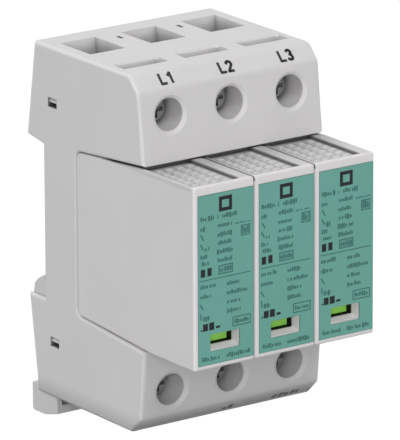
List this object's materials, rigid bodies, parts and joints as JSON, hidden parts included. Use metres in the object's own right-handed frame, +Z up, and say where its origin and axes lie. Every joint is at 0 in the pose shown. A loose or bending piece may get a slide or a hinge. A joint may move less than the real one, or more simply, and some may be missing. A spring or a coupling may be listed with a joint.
{
  "type": "surge protection barrier",
  "caption": "Rail-mounted plug-in surge protection barrier with a stepped terminal base, pull-out modules side by side, status windows and sprung rail latches.",
  "frame": {"origin": "middle of the housing wall that seats on the mounting rail, midway between the rail's edges", "axes": "+X to the right seen from the front, the front with the labels faces -Y, +Z up along the row of terminals"},
  "size_m": [0.054, 0.0708, 0.096],
  "materials": {
    "housing_plastic": "matt",
    "module_plastic": "matt",
    "label_film": "satin",
    "zinc_steel": "satin",
    "tinned_copper": "satin",
    "varistor_coating": "satin",
    "spring_bronze": "satin",
    "dark_plastic": "matt",
    "flag_green": "satin",
    "backing_red": "satin",
    "latch_plastic": "matt"
  },
  "bodies": {
    "base": {"base_housing": "housing_plastic", "contact_strip_top_1": "tinned_copper", "contact_strip_top_2": "tinned_copper", "contact_strip_top_3": "tinned_copper", "contact_strip_low_1": "tinned_copper", "contact_strip_low_2": "tinned_copper", "contact_strip_low_3": "tinned_copper", "latch_spring_left": "zinc_steel", "latch_spring_right": "zinc_steel"},
    "module_1": {"module_1_shell": "module_plastic", "module_1_back": "module_plastic", "module_1_label": "label_film", "module_1_varistor": "varistor_coating", "module_1_blade_top": "tinned_copper", "module_1_blade_low": "tinned_copper", "module_1_disconnector": "spring_bronze", "module_1_frame": "dark_plastic", "module_1_backing": "backing_red"},
    "flag_1": {"module_1_flag": "flag_green"},
    "screw_top_1": {"terminal_screw_top_1": "zinc_steel"},
    "cage_top_1": {"clamp_cage_top_1": "zinc_steel"},
    "screw_low_1": {"terminal_screw_low_1": "zinc_steel"},
    "cage_low_1": {"clamp_cage_low_1": "zinc_steel"},
    "module_2": {"module_2_shell": "module_plastic", "module_2_back": "module_plastic", "module_2_label": "label_film", "module_2_varistor": "varistor_coating", "module_2_blade_top": "tinned_copper", "module_2_blade_low": "tinned_copper", "module_2_disconnector": "spring_bronze", "module_2_frame": "dark_plastic", "module_2_backing": "backing_red"},
    "flag_2": {"module_2_flag": "flag_green"},
    "screw_top_2": {"terminal_screw_top_2": "zinc_steel"},
    "cage_top_2": {"clamp_cage_top_2": "zinc_steel"},
    "screw_low_2": {"terminal_screw_low_2": "zinc_steel"},
    "cage_low_2": {"clamp_cage_low_2": "zinc_steel"},
    "module_3": {"module_3_shell": "module_plastic", "module_3_back": "module_plastic", "module_3_label": "label_film", "module_3_varistor": "varistor_coating", "module_3_blade_top": "tinned_copper", "module_3_blade_low": "tinned_copper", "module_3_disconnector": "spring_bronze", "module_3_frame": "dark_plastic", "module_3_backing": "backing_red"},
    "flag_3": {"module_3_flag": "flag_green"},
    "screw_top_3": {"terminal_screw_top_3": "zinc_steel"},
    "cage_top_3": {"clamp_cage_top_3": "zinc_steel"},
    "screw_low_3": {"terminal_screw_low_3": "zinc_steel"},
    "cage_low_3": {"clamp_cage_low_3": "zinc_steel"},
    "latch_left_body": {"latch_left": "latch_plastic"},
    "latch_right_body": {"latch_right": "latch_plastic"}
  },
  "joints": [
    {"name": "module_1_pull", "type": "slide", "parent": "base", "child": "module_1", "axis": [0, -1, 0], "range_m": [0, 0.04]},
    {"name": "flag_1_trip", "type": "slide", "parent": "module_1", "child": "flag_1", "axis": [0, 0, 1], "range_m": [0, 0.0045]},
    {"name": "screw_top_1_turn", "type": "hinge", "parent": "base", "child": "screw_top_1", "pos_m": [-0.018, -0.0318, 0.0328], "axis": [0, 1, 0], "range_deg": [0, 3150]},
    {"name": "cage_top_1_clamp", "type": "slide", "parent": "base", "child": "cage_top_1", "axis": [0, -1, 0], "range_m": [0, 0.007]},
    {"name": "screw_low_1_turn", "type": "hinge", "parent": "base", "child": "screw_low_1", "pos_m": [-0.018, -0.0318, -0.0366], "axis": [0, 1, 0], "range_deg": [0, 3150]},
    {"name": "cage_low_1_clamp", "type": "slide", "parent": "base", "child": "cage_low_1", "axis": [0, -1, 0], "range_m": [0, 0.007]},
    {"name": "module_2_pull", "type": "slide", "parent": "base", "child": "module_2", "axis": [0, -1, 0], "range_m": [0, 0.04]},
    {"name": "flag_2_trip", "type": "slide", "parent": "module_2", "child": "flag_2", "axis": [0, 0, 1], "range_m": [0, 0.0045]},
    {"name": "screw_top_2_turn", "type": "hinge", "parent": "base", "child": "screw_top_2", "pos_m": [0, -0.0318, 0.0328], "axis": [0, 1, 0], "range_deg": [0, 3150]},
    {"name": "cage_top_2_clamp", "type": "slide", "parent": "base", "child": "cage_top_2", "axis": [0, -1, 0], "range_m": [0, 0.007]},
    {"name": "screw_low_2_turn", "type": "hinge", "parent": "base", "child": "screw_low_2", "pos_m": [0, -0.0318, -0.0366], "axis": [0, 1, 0], "range_deg": [0, 3150]},
    {"name": "cage_low_2_clamp", "type": "slide", "parent": "base", "child": "cage_low_2", "axis": [0, -1, 0], "range_m": [0, 0.007]},
    {"name": "module_3_pull", "type": "slide", "parent": "base", "child": "module_3", "axis": [0, -1, 0], "range_m": [0, 0.04]},
    {"name": "flag_3_trip", "type": "slide", "parent": "module_3", "child": "flag_3", "axis": [0, 0, 1], "range_m": [0, 0.0045]},
    {"name": "screw_top_3_turn", "type": "hinge", "parent": "base", "child": "screw_top_3", "pos_m": [0.018, -0.0318, 0.0328], "axis": [0, 1, 0], "range_deg": [0, 3150]},
    {"name": "cage_top_3_clamp", "type": "slide", "parent": "base", "child": "cage_top_3", "axis": [0, -1, 0], "range_m": [0, 0.007]},
    {"name": "screw_low_3_turn", "type": "hinge", "parent": "base", "child": "screw_low_3", "pos_m": [0.018, -0.0318, -0.0366], "axis": [0, 1, 0], "range_deg": [0, 3150]},
    {"name": "cage_low_3_clamp", "type": "slide", "parent": "base", "child": "cage_low_3", "axis": [0, -1, 0], "range_m": [0, 0.007]},
    {"name": "latch_left_release", "type": "slide", "parent": "base", "child": "latch_left_body", "axis": [0, 0, -1], "range_m": [0, 0.004], "stiffness_N_per_m": 800, "springref_m": -0.001, "deforming": ["latch_spring_left"]},
    {"name": "latch_right_release", "type": "slide", "parent": "base", "child": "latch_right_body", "axis": [0, 0, -1], "range_m": [0, 0.004], "stiffness_N_per_m": 800, "springref_m": -0.001, "deforming": ["latch_spring_right"]}
  ],
  "couplings": [
    {"joint": "screw_top_1_turn", "follows": "cage_top_1_clamp", "rad_per_m": 7854},
    {"joint": "screw_low_1_turn", "follows": "cage_low_1_clamp", "rad_per_m": 7854},
    {"joint": "screw_top_2_turn", "follows": "cage_top_2_clamp", "rad_per_m": 7854},
    {"joint": "screw_low_2_turn", "follows": "cage_low_2_clamp", "rad_per_m": 7854},
    {"joint": "screw_top_3_turn", "follows": "cage_top_3_clamp", "rad_per_m": 7854},
    {"joint": "screw_low_3_turn", "follows": "cage_low_3_clamp", "rad_per_m": 7854}
  ]
}
